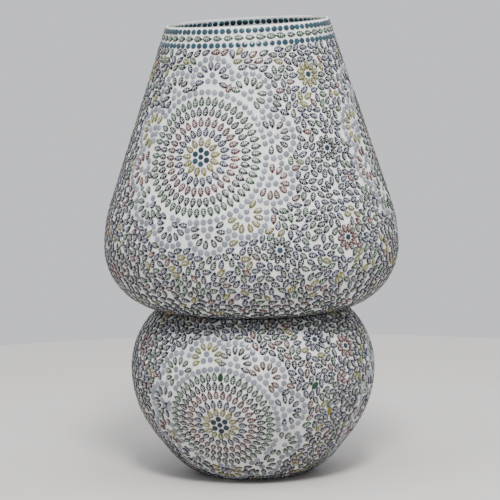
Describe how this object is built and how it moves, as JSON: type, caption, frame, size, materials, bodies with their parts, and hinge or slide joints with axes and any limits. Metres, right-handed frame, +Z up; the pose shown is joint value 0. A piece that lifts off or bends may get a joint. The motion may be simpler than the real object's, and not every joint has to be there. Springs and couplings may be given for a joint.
{
  "type": "mosaic glass table lamp",
  "caption": "Mushroom-shaped mosaic glass table lamp: round base, pinched neck and tall open-topped shade in one blown glass vessel, with pipe, lampholder and LED bulb inside.",
  "frame": {"origin": "on the table, under the middle of the lamp", "axes": "+Z up along the lamp's axis; the front faces -Y; the sloping rim is higher towards +X"},
  "size_m": [0.2602, 0.2602, 0.4028],
  "materials": {
    "blown_glass": "clear, slightly uneven, blown",
    "mosaic": "small glossy glass beads in matt off-white grout",
    "teal_bead": "glossy petrol-blue glass beads",
    "leaf_bead": "glossy leaf beads with dark green veins on white",
    "felt": "matt pressed felt",
    "rubber": "matt",
    "zinc_steel": "zinc plated",
    "black_plastic": "moulded, fine satin",
    "steatite": "unglazed white ceramic",
    "brass": "pressed and slightly tarnished",
    "opal": "opal, satin gloss",
    "white_plastic": "moulded white",
    "cap_metal": "rolled thread, bright",
    "black_glass": "glossy black insulator",
    "board_white": "white solder mask on an aluminium plate",
    "led_yellow": "phosphor yellow",
    "board_green": "green solder mask"
  },
  "bodies": {
    "lamp": {"glass_body": "blown_glass", "base_mosaic": "mosaic", "shade_mosaic": "mosaic", "rim_dots_upper": "teal_bead", "rim_leaves": "leaf_bead", "rim_dots_lower": "teal_bead", "foot_felt_ring": "felt", "cord_grommet": "rubber", "lamp_pipe": "zinc_steel", "lower_rubber_washer": "rubber", "lower_steel_washer": "zinc_steel", "lower_pipe_nut": "zinc_steel", "upper_rubber_washer": "rubber", "upper_steel_washer": "zinc_steel", "upper_pipe_nut": "zinc_steel", "holder_lock_nut": "zinc_steel", "holder_cap": "black_plastic", "holder_grub_screw": "zinc_steel", "holder_skirt": "black_plastic", "holder_ring": "black_plastic", "holder_insert": "steatite", "holder_terminal_screws": "brass", "holder_screw_shell": "brass", "holder_centre_contact": "brass"},
    "bulb": {"bulb_tip_contact": "cap_metal", "bulb_insulator": "black_glass", "bulb_screw_cap": "cap_metal", "bulb_housing": "white_plastic", "bulb_diffuser": "opal", "bulb_led_board": "board_white", "bulb_leds": "led_yellow", "bulb_driver_board": "board_green"}
  },
  "joints": [
    {"name": "bulb_lift", "type": "slide", "parent": "lamp", "child": "bulb", "axis": [0, 0, 1], "range_m": [0, 0.285]}
  ]
}
